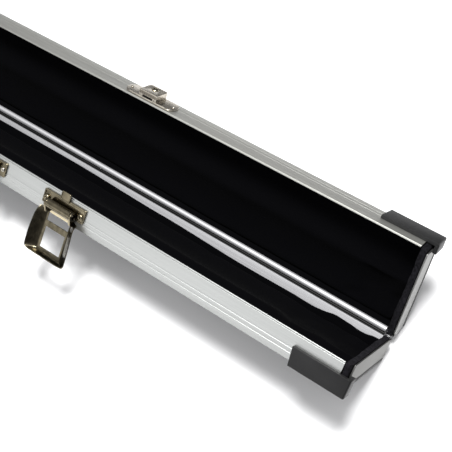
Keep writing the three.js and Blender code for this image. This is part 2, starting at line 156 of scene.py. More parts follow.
def rounded(points, radii, steps=4):
    """A closed outline with its corners filleted; radii is one number or one per corner."""
    count = len(points)
    if not hasattr(radii, "__len__"):
        radii = [radii] * count
    outline = []
    for i, corner in enumerate(points):
        here = Vector(corner)
        before = Vector(points[i - 1]) - here
        after = Vector(points[(i + 1) % count]) - here
        half = before.angle(after) / 2
        reach = min(radii[i] / math.tan(half), before.length * 0.49, after.length * 0.49)
        a = here + before.normalized() * reach
        b = here + after.normalized() * reach
        for k in range(steps + 1):
            t = k / steps
            outline.append(tuple(a * (1 - t) ** 2 + here * 2 * t * (1 - t) + b * t ** 2))
    return outline


def rectangle(a0, a1, b0, b1):
    return [(a0, b0), (a1, b0), (a1, b1), (a0, b1)]


def remapped(bm, rows):
    """Turns the mesh onto other axes: the rows give its new X, Y and Z."""
    bm.transform(Matrix(rows).to_4x4())
    return bm


def evaluated_bmesh(obj):
    """The mesh of an object with its modifiers or curve settings worked out; the object is removed."""
    bpy.context.view_layer.update()
    mesh = bpy.data.meshes.new_from_object(obj.evaluated_get(bpy.context.evaluated_depsgraph_get()))
    bm = bmesh.new()
    bm.from_mesh(mesh)
    bpy.data.objects.remove(obj)
    bpy.data.meshes.remove(mesh)
    return bm


def put(name, data):
    """A new object in the scene."""
    obj = bpy.data.objects.new(name, data)
    bpy.context.scene.collection.objects.link(obj)
    return obj


def new_mesh(name, bm):
    """A mesh with a bmesh's shape; the bmesh is used up."""
    mesh = bpy.data.meshes.new(name)
    bm.to_mesh(mesh)
    bm.free()
    return mesh


def temporary(bm):
    return put("temporary", new_mesh("temporary", bm))


def modify(obj, name, kind, **settings):
    """Adds a modifier with its settings."""
    modifier = obj.modifiers.new(name, kind)
    for key, value in settings.items():
        setattr(modifier, key, value)
    return modifier


def ease_edges(obj, width, segments):
    modify(obj, "edges", "BEVEL", width=width, segments=segments, limit_method="ANGLE",
           angle_limit=math.radians(50))


def join(*parts):
    """One bmesh that holds all the parts."""
    whole = bmesh.new()
    for part in parts:
        mesh = new_mesh("part", part)
        whole.from_mesh(mesh)
        bpy.data.meshes.remove(mesh)
    return whole


def moved(bm, x=0.0, y=0.0, z=0.0):
    bmesh.ops.translate(bm, verts=bm.verts, vec=(x, y, z))
    return bm


def flat_shape(outline, depth, holes, bevel, segments):
    """A plate cut to an outline in the first two axes, centred on zero along the third."""
    curve = bpy.data.curves.new("outline", "CURVE")
    curve.dimensions = "2D"
    curve.fill_mode = "BOTH"
    curve.extrude = depth / 2 - bevel
    curve.bevel_depth = bevel
    curve.bevel_resolution = segments
    curve.offset = -bevel
    for loop in (outline, *holes):
        spline = curve.splines.new("POLY")
        spline.points.add(len(loop) - 1)
        for point, (a, b) in zip(spline.points, loop):
            point.co = (a, b, 0, 1)
        spline.use_cyclic_u = True
    bm = evaluated_bmesh(put("outline", curve))
    bpy.data.curves.remove(curve)
    bmesh.ops.remove_doubles(bm, verts=bm.verts, dist=1e-4)
    return bm


def plate_xz(outline, out_from, out_to, holes=(), bevel=0.15, segments=2):
    """A plate parallel to the latch face; out_from and out_to are distances out from that face."""
    bm = flat_shape(outline, abs(out_to - out_from), holes, bevel, segments)
    middle = LATCH_FACE - (out_from + out_to) / 2
    return moved(remapped(bm, ((1, 0, 0), (0, 0, 1), (0, 1, 0))), y=middle)


def plate_yz(outline, x0, x1, holes=(), bevel=0.15, segments=2):
    """A plate across the case."""
    bm = flat_shape(outline, abs(x1 - x0), holes, bevel, segments)
    return moved(remapped(bm, ((0, 0, 1), (1, 0, 0), (0, 1, 0))), x=(x0 + x1) / 2)


def sweep(outline, stations, triangulate=True):
    """A closed outline carried along X. stations is a list of x, or of (x, outline) pairs."""
    bm = bmesh.new()
    rings = []
    for station in stations:
        x, points = station if isinstance(station, tuple) else (station, outline)
        rings.append([bm.verts.new((x, y, z)) for y, z in points])
    count = len(rings[0])
    for a, b in zip(rings, rings[1:]):
        for i in range(count):
            j = (i + 1) % count
            bm.faces.new((a[i], a[j], b[j], b[i]))
    caps = [bm.faces.new(rings[0]), bm.faces.new(reversed(rings[-1]))]
    if triangulate:
        bmesh.ops.triangulate(bm, faces=caps)
    return bm


def lathe(profile, segments=32):
    """A turned solid about the Y axis; profile is a list of (radius, height) from one end to the other."""
    bm = bmesh.new()
    rings = []
    for radius, height in profile:
        if radius < 1e-6:
            rings.append([bm.verts.new((0, height, 0))])
            continue
        ring = []
        for i in range(segments):
            angle = 2 * math.pi * i / segments
            ring.append(bm.verts.new((radius * math.cos(angle), height, radius * math.sin(angle))))
        rings.append(ring)
    for a, b in zip(rings, rings[1:] + ([rings[0]] if profile[0][0] > 1e-6 else [])):
        for i in range(segments):
            j = (i + 1) % segments
            if len(a) == 1:
                bm.faces.new((a[0], b[i], b[j]))
            elif len(b) == 1:
                bm.faces.new((a[i], b[0], a[j]))
            else:
                bm.faces.new((a[i], b[i], b[j], a[j]))
    return bm


def rounded_box(x0, x1, y0, y1, z0, z1, radius, segments=3):
    bm = bmesh.new()
    bmesh.ops.create_cube(bm, size=1)
    bmesh.ops.scale(bm, vec=(abs(x1 - x0), abs(y1 - y0), abs(z1 - z0)), verts=bm.verts)
    bmesh.ops.bevel(bm, geom=bm.edges, offset=radius, segments=segments, profile=0.5, affect="EDGES")
    return moved(bm, (x0 + x1) / 2, (y0 + y1) / 2, (z0 + z1) / 2)


def cut(bm, cutter):
    """bm with the cutter taken away."""
    target, tool = temporary(bm), temporary(cutter)
    modify(target, "cut", "BOOLEAN", operation="DIFFERENCE", solver="EXACT", object=tool)
    result = evaluated_bmesh(target)
    bpy.data.objects.remove(tool)
    return result


def piece(name, bm, tray, material, body=None, replaces=(), sharp=35):
    """Turns a bmesh in a tray's millimetres into a finished object that rides on a body."""
    bm.transform(tray.matrix)
    bmesh.ops.recalc_face_normals(bm, faces=bm.faces)
    mesh = new_mesh(name, bm)
    mesh.polygons.foreach_set("use_smooth", [True] * len(mesh.polygons))
    mesh.set_sharp_from_angle(angle=math.radians(sharp))
    mesh.materials.append(material)
    obj = put(name, mesh)
    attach(obj, body or tray.body)
    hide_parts(*replaces)
    return obj


# ---- materials ----
def new_material(name):
    material = bpy.data.materials.new(name)
    material.use_nodes = True
    tree = material.node_tree
    return material, tree, tree.nodes["Principled BSDF"]


def add_node(tree, kind, **inputs):
    """A node with its inputs set by name; a value that is a socket is linked instead."""
    node = tree.nodes.new(kind)
    for key, value in inputs.items():
        socket = node.inputs[key.replace("_", " ")]
        if isinstance(value, bpy.types.NodeSocket):
            tree.links.new(value, socket)
        else:
            socket.default_value = value
    return node


def object_noise(tree, scale, stretch=(1, 1, 1), detail=4.0, rough=0.55):
    """Noise in the object's own metres; stretch makes it finer along an axis."""
    coords = add_node(tree, "ShaderNodeTexCoord")
    mapping = add_node(tree, "ShaderNodeMapping", Vector=coords.outputs["Object"], Scale=stretch)
    node = add_node(tree, "ShaderNodeTexNoise", Vector=mapping.outputs["Vector"], Scale=scale,
                    Detail=detail, Roughness=rough)
    return node.outputs["Fac"]


def ramp(tree, factor, *stops):
    node = add_node(tree, "ShaderNodeValToRGB", Fac=factor)
    elements = node.color_ramp.elements
    while len(elements) < len(stops):
        elements.new(0.5)
    for element, (position, colour) in zip(elements, stops):
        element.position = position
        element.color = (*colour, 1)
    return node.outputs["Color"]


def ranged(tree, factor, low, high):
    node = add_node(tree, "ShaderNodeMapRange", Value=factor, To_Min=low, To_Max=high)
    return node.outputs["Result"]


def mixed(tree, factor, a, b):
    """Colour a at factor 0 and colour b at factor 1."""
    node = tree.nodes.new("ShaderNodeMix")
    node.data_type = "RGBA"
    for socket, value in ((node.inputs[0], factor), (node.inputs[6], a), (node.inputs[7], b)):
        if isinstance(value, bpy.types.NodeSocket):
            tree.links.new(value, socket)
        else:
            socket.default_value = value if isinstance(value, float) else (*value, 1)
    return node.outputs[2]


def bumped(tree, shader, height, strength, distance):
    bump = add_node(tree, "ShaderNodeBump", Height=height, Strength=strength, Distance=distance)
    tree.links.new(bump.outputs["Normal"], shader.inputs["Normal"])


def vector_math(tree, operation, socket, vector):
    node = tree.nodes.new("ShaderNodeVectorMath")
    node.operation = operation
    tree.links.new(socket, node.inputs[0])
    node.inputs[1].default_value = vector
    return node


def wear_and_highlight_edges(tree, base, low, high, colour):
    """Lays a colour over the base where the surface is sharply convex."""
    geometry = add_node(tree, "ShaderNodeNewGeometry")
    convexity = ramp(tree, geometry.outputs["Pointiness"], (low, (0, 0, 0)), (high, (1, 1, 1)))
    return mixed(tree, ranged(tree, convexity, 0.0, 0.7), base, colour)


def metal(name, dark, light, rough, streak=(6, 900, 900), bump=0.12, metallic=1.0):
    """Metal with fine streaks along the stretched axis, cloudy patches and uneven gloss.
    Below 1, metallic lets an anodised surface scatter some light."""
    material, tree, shader = new_material(name)
    streaks = object_noise(tree, 1.0, streak, 5.0)
    clouds = object_noise(tree, 14.0, detail=3.0)
    base = ramp(tree, streaks, (0.25, dark), (0.75, light))
    patchy = mixed(tree, ranged(tree, clouds, 0.0, 0.35), base, dark)
    tree.links.new(patchy, shader.inputs["Base Color"])
    tree.links.new(ranged(tree, streaks, rough[0], rough[1]), shader.inputs["Roughness"])
    shader.inputs["Metallic"].default_value = metallic
    bumped(tree, shader, streaks, bump, 0.0001)
    return material


def plated(name, dark, light, rough, edge=1.5):
    """Bright plating over die-cast metal: faint waves, light edges and small pits; the edges are wear, and where
    edge is large a painted highlight.
    """
    material, tree, shader = new_material(name)
    waves = object_noise(tree, 160.0, detail=2.0)
    pits = object_noise(tree, 1500.0, detail=3.0)
    base = ramp(tree, waves, (0.3, dark), (0.7, light))
    edged = wear_and_highlight_edges(tree, base, 0.52, 0.6, tuple(min(1, edge * c) for c in light))
    tree.links.new(edged, shader.inputs["Base Color"])
    tree.links.new(ranged(tree, pits, rough[0], rough[1]), shader.inputs["Roughness"])
    shader.inputs["Metallic"].default_value = 1.0
    bumped(tree, shader, waves, 0.25, 0.0003)
    return material


def fabric(name, dark, light, pile=2600.0, spec=0.08):
    """Short black pile: a fibre grain, brushed patches and a faint sheen."""
    material, tree, shader = new_material(name)
    fibres = object_noise(tree, pile, detail=6.0, rough=0.7)
    patches = object_noise(tree, 22.0, (0.6, 1, 1), detail=3.0)
    grain = ramp(tree, fibres, (0.35, dark), (0.7, light))
    brushed = mixed(tree, ranged(tree, patches, 0.0, 0.7), grain, dark)
    tree.links.new(brushed, shader.inputs["Base Color"])
    shader.inputs["Roughness"].default_value = 0.95
    shader.inputs["Specular IOR Level"].default_value = spec
    shader.inputs["Sheen Weight"].default_value = 0.005
    shader.inputs["Sheen Roughness"].default_value = 0.5
    bumped(tree, shader, fibres, 0.5, 0.0003)
    return material


def plastic(name, dark, light, rough, grain=900.0, bump=0.35, edge=0.10, spec=0.5):
    """Moulded black plastic with a fine leather grain and rubbed edges."""
    material, tree, shader = new_material(name)
    coords = add_node(tree, "ShaderNodeTexCoord")
    cells = add_node(tree, "ShaderNodeTexVoronoi", Vector=coords.outputs["Object"], Scale=grain)
    clouds = object_noise(tree, 60.0, detail=4.0)
    base = ramp(tree, clouds, (0.3, dark), (0.75, light))
    rubbed = wear_and_highlight_edges(tree, base, 0.51, 0.58, (edge, edge, edge))
    tree.links.new(rubbed, shader.inputs["Base Color"])
    tree.links.new(ranged(tree, clouds, rough[0], rough[1]), shader.inputs["Roughness"])
    shader.inputs["Specular IOR Level"].default_value = spec
    bumped(tree, shader, cells.outputs["Distance"], bump, 0.0003)
    return material


def paint_joint_shade(material, inner, outer):
    """Paints shade into a material near the hinge axis: darker towards the axis, painted shade for the deep joint
    between the trays.
    """
    tree = material.node_tree
    shader = tree.nodes["Principled BSDF"]
    unshaded = shader.inputs["Base Color"].links[0].from_socket
    coords = add_node(tree, "ShaderNodeTexCoord")
    across = vector_math(tree, "MULTIPLY", coords.outputs["Object"], (0, 1, 1))
    away = vector_math(tree, "DISTANCE", across.outputs["Vector"], BASE.matrix.translation)
    lit_share = add_node(tree, "ShaderNodeMapRange", Value=away.outputs["Value"], From_Min=inner * MM,
                     From_Max=outer * MM)
    # near-black painted shade at the axis, fading to the material's own colour by outer
    colour = mixed(tree, lit_share.outputs["Result"], (0.012, 0.012, 0.012), unshaded)
    tree.links.new(colour, shader.inputs["Base Color"])


ALUMINIUM = metal("brushed_aluminium", (0.39, 0.40, 0.39), (0.50, 0.51, 0.50), (0.36, 0.48),
                  metallic=0.94)
# A darker, rougher copy of the brushed aluminium for the lid's latch rail: the darker colour is painted shade, as
# that rail faces away from the bright screen.
SHADED_LID_RAIL = metal("lid_rail_painted_shade", (0.325, 0.325, 0.305), (0.425, 0.425, 0.40), (0.48, 0.60),
                 metallic=0.94)
ROD = metal("satin_hinge_rail", (0.43, 0.43, 0.442), (0.55, 0.55, 0.563), (0.50, 0.60), bump=0.06,
            metallic=0.72)
# painted shade on both hinge rails close to the axis, where bead, hook and nose lie in shade
paint_joint_shade(ROD, 1.9, 2.7)
END_METAL = metal("satin_end_plate", (0.20, 0.20, 0.195), (0.27, 0.27, 0.262), (0.40, 0.52),
                  (500, 30, 500), 0.1)
# A darker copy of the end plates' metal for the base tray's plates: painted shade.
SHADED_END_METAL = metal("end_plate_painted_shade", (0.12, 0.12, 0.115), (0.17, 0.17, 0.162), (0.44, 0.56),
                       (500, 30, 500), 0.1)
# painted shade on the end plates round the hinge axis, in the crease between the trays
for plate_metal in (END_METAL, SHADED_END_METAL):
    paint_joint_shade(plate_metal, 3.2, 4.6)
# The dark tone is painted shade for the dark room the plating reflects; the edge gain of 5.5 paints highlights on
# the convex edges.
NICKEL = plated("nickel_painted_shade_and_highlights", (0.045, 0.040, 0.027), (0.130, 0.113, 0.077), (0.15, 0.25), 5.5)
PALE_NICKEL = plated("pale_nickel", (0.30, 0.275, 0.235), (0.47, 0.435, 0.375), (0.20, 0.32))
# A darker copy of the pale nickel for the ribs on the lock box's face: painted shade.
SHADED_RIB_NICKEL = plated("ribbed_nickel_painted_shade", (0.11, 0.098, 0.080), (0.19, 0.170, 0.140), (0.34, 0.46))
# Near-black steel for the latch pins: painted shade, so the pin's ends and bore read as a dark hole in the
# knuckle.
SHADED_PIN_STEEL = metal("pin_steel_painted_shade", (0.010, 0.009, 0.007), (0.040, 0.035, 0.026), (0.30, 0.45),
                   (900, 40, 40))
STEEL = metal("pin_steel", (0.35, 0.33, 0.28), (0.52, 0.49, 0.43), (0.22, 0.34), (900, 40, 40))
VELVET = fabric("black_velvet", (0.0009, 0.0009, 0.0012), (0.0022, 0.0022, 0.0027), spec=0.02)
EDGE_CLOTH = fabric("black_edge_cloth", (0.0010, 0.0010, 0.0014), (0.019, 0.018, 0.022), 520.0)
LAMINATE = plastic("black_laminate", (0.004, 0.004, 0.004), (0.010, 0.010, 0.010), (0.42, 0.58),
                   620.0, 0.3, 0.02, 0.16)
PLASTIC = plastic("black_corner_plastic", (0.004, 0.004, 0.0042), (0.010, 0.010, 0.0105),
                  (0.36, 0.50), 1100.0, 0.16, 0.035, 0.14)
GRIP = plastic("black_grip_plastic", (0.012, 0.012, 0.012), (0.024, 0.024, 0.024), (0.40, 0.55))


# ---- rails ----
def flange_points():
    """The outer corner and inner flange of a rail whose outer face is at y = 0, running out and back."""
    r = 0.35
    return [(0, DEPTH - r), (-r * 0.3, DEPTH - r * 0.3), (-r, DEPTH),
            (-FLANGE + 0.2, DEPTH), (-FLANGE, DEPTH - 0.2), (-FLANGE, DEPTH - FLANGE_THICK + 0.15),
            (-FLANGE + 0.15, DEPTH - FLANGE_THICK), (-WALL - 0.3, DEPTH - FLANGE_THICK),
            (-WALL, DEPTH - FLANGE_THICK - 0.3)]


def lid_hinge_rail():
    """The lid's rail: a bead on a neck, the rounded nose, the wall and the flange."""
    outline = [(OUTER_Y, 2.129)]
    outline += arc((0, 0), RECESS_R, 98, 126, 6)
    outline += arc((0, 0), BEAD_R, 118, -208.4, 28)
    outline += arc((0, 0), RECESS_R, 143, 201.2, 10)
    outline += arc(NOSE, NOSE_R, -53.8, -309, 44)
    outline += [(OUTER_Y + y, z) for y, z in reversed(flange_points())]
    piece("lid_hinge_rail_fine", sweep(outline, (-RAIL_HALF, RAIL_HALF)), LID, ROD,
          replaces=["lid_hinge_rail"], sharp=28)


def base_hinge_rail():
    """The base's rail: the hook that holds the bead, the hollow that clears the nose, wall and flange."""
    outline = [(OUTER_Y - WALL, -1.9)]
    outline += arc(NOSE, NOSE_R + NOSE_CLEAR, -60.5, -39.3, 5)
    outline += arc((0, 0), HOOK_BORE_R, 227.2, 398.5, 20)
    outline += arc((0, 0), HOOK_R, 38.5, -71.3, 14)
    outline += [(-0.7, -1.8), (-0.7, -2.3), (OUTER_Y, -2.3)]
    outline += [(OUTER_Y + y, -z) for y, z in flange_points()]
    piece("base_hinge_rail_fine", sweep(outline, (-RAIL_HALF, RAIL_HALF)), BASE, ROD,
          replaces=["base_hinge_rail"], sharp=28)


def latch_rail(tray):
    """The latch-side rail: a lip with a fine line in its mouth face, and grooves along the wall."""
    lip, lip_deep = (1.3, 1.9) if tray is BASE else (0.9, 1.5)
    # the lid's rail gets the darker copy: painted shade
    material = ALUMINIUM if tray is BASE else SHADED_LID_RAIL
    outer = [(0, DEPTH - 0.35), (0.1, DEPTH - 0.1), (0.35, DEPTH)]
    outline = [(lip - 0.15, MOUTH)]
    outline += arc((0.4, MOUTH + 0.4), 0.4, -90, -180, 5)
    for depth, wide, deep in ((1.0, 0.85, 0.7), (13.0, 1.3, 0.16), (17.1, 1.2, 0.16)):
        outline += [(0, depth - 0.12), (0.1, depth), (deep, depth + wide * 0.3),
                    (deep, depth + wide * 0.7), (0.1, depth + wide), (0, depth + wide + 0.12)]
    outline += outer
    outline += [(FLANGE - 0.2, DEPTH), (FLANGE, DEPTH - 0.2), (FLANGE, DEPTH - FLANGE_THICK + 0.15),
                (FLANGE - 0.15, DEPTH - FLANGE_THICK), (WALL + 0.3, DEPTH - FLANGE_THICK),
                (WALL, DEPTH - FLANGE_THICK - 0.3), (WALL, lip_deep + 0.5), (lip, lip_deep),
                (lip, MOUTH + 0.15)]
    outline = [(LATCH_FACE + y, tray.side * z) for y, z in outline]
    piece(f"{tray.body}_latch_rail_fine", sweep(outline, (-RAIL_HALF, RAIL_HALF)), tray, material,
          replaces=[f"{tray.body}_latch_rail"], sharp=28)


# ---- lining ----
def channel_depth(y):
    """Depth of the two cue channels with the ridge between them."""
    half = (PAD_NEAR - PAD_FAR) / 4
    t = ((PAD_NEAR - y) / (2 * half)) % 1.0
    edge = min(1.0, max(0.0, (PAD_NEAR - y) / 2.0), max(0.0, (y - PAD_FAR) / 2.0))
    bowl = math.sin(math.pi * t) ** 0.75
    return RIDGE + (CHANNEL - RIDGE) * bowl + 0.8 * (1 - edge)


def settle_cloth(obj, pinned, cap):
    """Lets the fabric of obj swell under a little pressure, then keeps each point within cap of its start."""
    start = [vertex.co.copy() for vertex in obj.data.vertices]
    group = obj.vertex_groups.new(name="pinned")
    group.add(pinned, 1.0, "REPLACE")
    cloth = modify(obj, "cloth", "CLOTH")
    settings = cloth.settings
    settings.vertex_group_mass = "pinned"
    settings.use_pressure = True
    settings.uniform_pressure_force = 4.0
    settings.effector_weights.gravity = 0.0
    settings.shrink_min = -0.05
    settings.quality = 5
    settings.bending_stiffness = 0.05
    scene = bpy.context.scene
    for step in range(1, 21):
        scene.frame_set(step)
    depsgraph = bpy.context.evaluated_depsgraph_get()
    settled = [vertex.co.copy() for vertex in obj.evaluated_get(depsgraph).data.vertices]
    scene.frame_set(1)
    obj.modifiers.remove(cloth)
    obj.vertex_groups.clear()
    for vertex, before, after in zip(obj.data.vertices, start, settled):
        move = after - before
        if move.length > cap:
            move *= cap / move.length
        vertex.co = before + move


def floor_pad(tray):
    """The padded velvet floor: a quilted skin over two channels, with a sewn crease on the ridge."""
    across = 26
    columns = int(2 * RAIL_HALF / 7.0)
    stations = []
    for i in range(columns + 1):
        x = -RAIL_HALF + 2 * RAIL_HALF * i / columns
        ring = []
        for k in range(across + 1):
            y = PAD_NEAR + (PAD_FAR - PAD_NEAR) * k / across
            z = channel_depth(y) + 0.35 * noise.noise(Vector((x * 0.02, y * 0.06, tray.side * 3)))
            ring.append((y, tray.side * z))
        for k in range(across, -1, -2):
            y = PAD_NEAR + (PAD_FAR - PAD_NEAR) * k / across
            ring.append((y, tray.side * PAD_UNDER))
        stations.append((x, ring))
    obj = piece(f"{tray.body}_padded_floor", sweep(None, stations, False), tray, VELVET,
                replaces=[f"{tray.body}_floor_pad"], sharp=80)
    count = len(ring)
    pinned = []
    for i in range(columns + 1):
        for k in range(count):
            if k > across or k in (0, across) or i in (0, columns):
                pinned.append(i * count + k)
    settle_cloth(obj, pinned, FLOOR_SWELL * MM)
    press_crease(obj, tray)
    subdivide(obj)


def press_crease(obj, tray):
    """Pulls the fabric down along the middle of the ridge, where it is sewn to the board."""
    middle = (PAD_NEAR + PAD_FAR) / 2
    back = tray.matrix.inverted()
    for vertex in obj.data.vertices:
        point = back @ vertex.co
        if abs(point.z) < PAD_UNDER - 1:
            depth = 1.1 * math.exp(-((point.y - middle) / 1.3) ** 2)
            vertex.co = tray.matrix @ Vector((point.x, point.y, point.z + tray.side * depth))


def subdivide(obj):
    modify(obj, "subdivide", "SUBSURF", levels=1, render_levels=1)


# Where the glued lining ends below the base's hinge rail: (x, depth) in mm, a hand-cut wavy edge.
LINING_EDGE = ((-418, 6.2), (-330, 8.0), (-250, 6.4), (-150, 7.6), (-50, 6.2), (70, 5.6), (180, 7.6),
               (285, 9.9), (330, 9.5), (352, 9.9), (361, 8.9), (374, 6.4), (386, 7.0), (399, 8.1),
               (405, 7.7), (409, 6.1), (418, 5.6))


def edge_depth(x):
    for (x0, d0), (x1, d1) in zip(LINING_EDGE, LINING_EDGE[1:]):
        if x <= x1:
            t = max(0.0, (x - x0) / (x1 - x0))
            t = t * t * (3 - 2 * t)
            return d0 + (d1 - d0) * t
    return LINING_EDGE[-1][1]


def wall_lining(tray, name, y_wall, inward, top):
    """Thin padded cloth on a wall; top gives the depth of its free edge at x."""
    low, high = tray.box(f"{tray.body}_{name}")
    thick = high.y - low.y
    bottom = PAD_UNDER
    columns = 210
    stations = []
    for i in range(columns + 1):
        x = -RAIL_HALF + 2 * RAIL_HALF * i / columns
        edge = top(x) + 0.12 * noise.noise(Vector((x * 0.11, 5.0 * tray.side, inward)))
        swell = 0.12 * noise.noise(Vector((x * 0.03, 9.0, tray.side + inward * 2)))
        face = thick * 0.86 + swell
        points = [(0.05, edge + 0.35), (0.2, edge + 0.08), (0.5, edge), (face - 0.35, edge + 0.15),
                  (face - 0.05, edge + 0.7), (face, edge + 2.0), (face + swell, (edge + bottom) / 2),
                  (face, bottom - 1), (face - 0.2, bottom), (0.05, bottom)]
        stations.append((x, [(y_wall + inward * y, tray.side * z) for y, z in points]))
    obj = piece(f"{tray.body}_{name}_cloth", sweep(None, stations), tray, VELVET,
                replaces=[f"{tray.body}_{name}"], sharp=80)
    subdivide(obj)


def linings(tray):
    low, high = tray.box(f"{tray.body}_hinge_lining")
    if tray is BASE:
        wall_lining(tray, "hinge_lining", high.y, -1, edge_depth)
    else:
        wall_lining(tray, "hinge_lining", high.y, -1, lambda x: low.z + 0.15)
    low, high = tray.box(f"{tray.body}_latch_lining")
    wall_lining(tray, "latch_lining", low.y, 1, lambda x: min(abs(low.z), abs(high.z)))


# ---- ends ----
def end_block(tray, end, label):
    """Board wrapped in black cloth, with a rounded corner at the latch side and a lap across it."""
    node = f"{tray.body}_end_block_{label}"
    low, high = tray.box(node)
    x0, x1 = (low.x, high.x) if end > 0 else (high.x, low.x)
    z0 = min(abs(low.z), abs(high.z))
    z1 = max(abs(low.z), abs(high.z))
    inset = 0.25
    y_hinge = OUTER_Y + 0.1
    lap_y = y_hinge - 31
    bm = bmesh.new()
    grid_y = [y_hinge - (y_hinge - low.y - inset) * i / 44 for i in range(45)]
    grid_y.insert(1, y_hinge - 0.35)
    grid_x = [x0 + end * (inset + (abs(x1 - x0) - 2 * inset) * i / 5) for i in range(6)]
    grid_z = [z0 + inset + (z1 - z0 - 2 * inset) * i / 9 for i in range(10)]
    index = {}

    def corner_round(x, y):
        """Rounds the two vertical edges at the latch side."""
        radius = 3.4
        cx = x1 - end * (inset + radius)
        cy = low.y + inset + radius
        if end * (x - cx) > 0 and y < cy:
            across = (x - cx) / radius
            along = (y - cy) / radius
            return (cx + radius * across * math.sqrt(max(0, 1 - along * along / 2)),
                    cy + radius * along * math.sqrt(max(0, 1 - across * across / 2)))
        return x, y

    def vert(i, j, k):
        key = (i, j, k)
        if key not in index:
            x, y, z = grid_x[i], grid_y[j], grid_z[k]
            x, y = corner_round(x, y)
            index[key] = bm.verts.new((x, y, tray.side * z))
        return index[key]

    last = (len(grid_x) - 1, len(grid_y) - 1, len(grid_z) - 1)
    for a, b, fixed in ((1, 2, 0), (0, 2, 1), (0, 1, 2)):
        for u in range(last[a]):
            for v in range(last[b]):
                for level in (0, last[fixed]):
                    corners = []
                    for du, dv in ((0, 0), (1, 0), (1, 1), (0, 1)):
                        key = [level, level, level]
                        key[a], key[b] = u + du, v + dv
                        corners.append(vert(*key))
                    bm.faces.new(corners)
    bm.verts.index_update()
    pinned = [v.index for key, v in index.items() if key[0] == last[0] or key[2] == last[2]]
    obj = piece(f"{node}_cloth", bm, tray, EDGE_CLOTH, replaces=[node], sharp=80)
    settle_cloth(obj, pinned, END_SWELL * MM)
    back = tray.matrix.inverted()
    for vertex in obj.data.vertices:
        point = back @ vertex.co
        lap = 0.7 * math.exp(-((point.y - lap_y) / 1.2) ** 2)
        crumple = 0.45 * noise.noise(Vector((point.x * 0.35, point.y * 0.20, end * 4 + tray.side)))
        depth = lap + crumple if abs(point.z) < z0 + 2 else 0.0
        z = max(tray.side * point.z + depth, z0 + 0.05)
        vertex.co = tray.matrix @ Vector((point.x, point.y, tray.side * z))
    subdivide(obj)


def end_plate(tray, end, label):
    """The aluminium plate outside an end block, with softened edges."""
    node = f"{tray.body}_end_plate_{label}"
    low, high = tray.box(node)
    mouth, outer = sorted((low.z, high.z), key=abs)
    outer -= tray.side * PANEL_EDGE
    outline = rounded(rectangle(low.y, high.y, mouth, outer), 0.8)
    bm = plate_yz(outline, low.x, high.x, bevel=0.25, segments=3)
    # the base's plates get the darker copy: painted shade
    material = END_METAL if tray is LID else SHADED_END_METAL
    piece(f"{node}_fine", bm, tray, material, replaces=[node])


def panel(tray):
    """The black laminate board; its edges are eased by a bevel."""
    node = f"{tray.body}_panel"
    low, high = tray.box(node)
    inner, outer = sorted((low.z, high.z), key=abs)
    z0, z1 = sorted((inner - tray.side * PANEL_EDGE, outer))
    bm = rounded_box(low.x - PANEL_PROUD, high.x + PANEL_PROUD, low.y, high.y, z0, z1, 0.2)
    piece(f"{node}_board", bm, tray, LAMINATE, replaces=[node])


def corner_cap(tray, end, label):
    """A moulded three-faced corner: rounded outer edges, slanted free end and a thin inner wall."""
    node = f"{tray.body}_corner_cap_{label}"
    x_end = end * (HALF + CAP_PROUD)
    y_out = LATCH_FACE - CAP_PROUD
    z_out = DEPTH + CAP_PROUD
    x_free = end * (HALF - CAP_LEG)
    y_free = LATCH_FACE + CAP_END_LEG
    bm = bmesh.new()

    def vert(x, y, z):
        return bm.verts.new((x, y, tray.side * z))

    corner = vert(x_end, y_out, z_out)
    on_end_latch = vert(x_end, y_out, CAP_FROM_MOUTH)
    free_top = vert(x_free, y_out, z_out)
    free_mouth = vert(x_free - end * CAP_SLANT, y_out, CAP_FROM_MOUTH)
    back_end = vert(x_end, y_free, z_out)
    back_mouth = vert(x_end, y_free, CAP_FROM_MOUTH)
    back_free = vert(x_free, y_free, z_out)
    bm.faces.new((corner, on_end_latch, free_mouth, free_top))
    bm.faces.new((corner, back_end, back_mouth, on_end_latch))
    bm.faces.new((corner, free_top, back_free, back_end))
    bm.edges.ensure_lookup_table()
    shared = [edge for edge in bm.edges if len(edge.link_faces) == 2]
    bmesh.ops.bevel(bm, geom=shared, offset=CAP_ROUND, segments=5, profile=0.5, affect="EDGES")
    bmesh.ops.recalc_face_normals(bm, faces=bm.faces)
    middle = Vector((end * (HALF - 20), LATCH_FACE + 20, tray.side * 5))
    bm.faces.ensure_lookup_table()
    face = max(bm.faces, key=lambda f: f.calc_area())
    if face.normal.dot(face.calc_center_median() - middle) < 0:
        bmesh.ops.reverse_faces(bm, faces=bm.faces)
    shell = temporary(bm)
    modify(shell, "wall", "SOLIDIFY", thickness=CAP_THICK, offset=-1, use_even_offset=True)
    ease_edges(shell, 0.35, 3)
    piece(f"{node}_moulded", evaluated_bmesh(shell), tray, PLASTIC, replaces=[node])


# ---- latch ----
# A domed rivet head with a dimple: parts of its radius and of its height, from the foot inwards.
RIVET_PROFILE = ((0, 0), (1, 0), (1, 0.25), (0.93, 0.55), (0.78, 0.85), (0.6, 1), (0.45, 0.97),
                 (0.32, 0.7), (0.18, 0.55), (0, 0.5))


def add_rivet(node, tray, radius, material, flat=1.0):
    """A rivet head on the latch side of a tray; flat is its height as a part of the CAD node's."""
    low, high = tray.box(node)
    height = flat * (high.y - low.y)
    head = lathe([(radius * r, -height * h) for r, h in RIVET_PROFILE], 28)
    bm = moved(head, (low.x + high.x) / 2, high.y, (low.z + high.z) / 2)
    piece(f"{node}_head", bm, tray, material, replaces=[node], sharp=50)


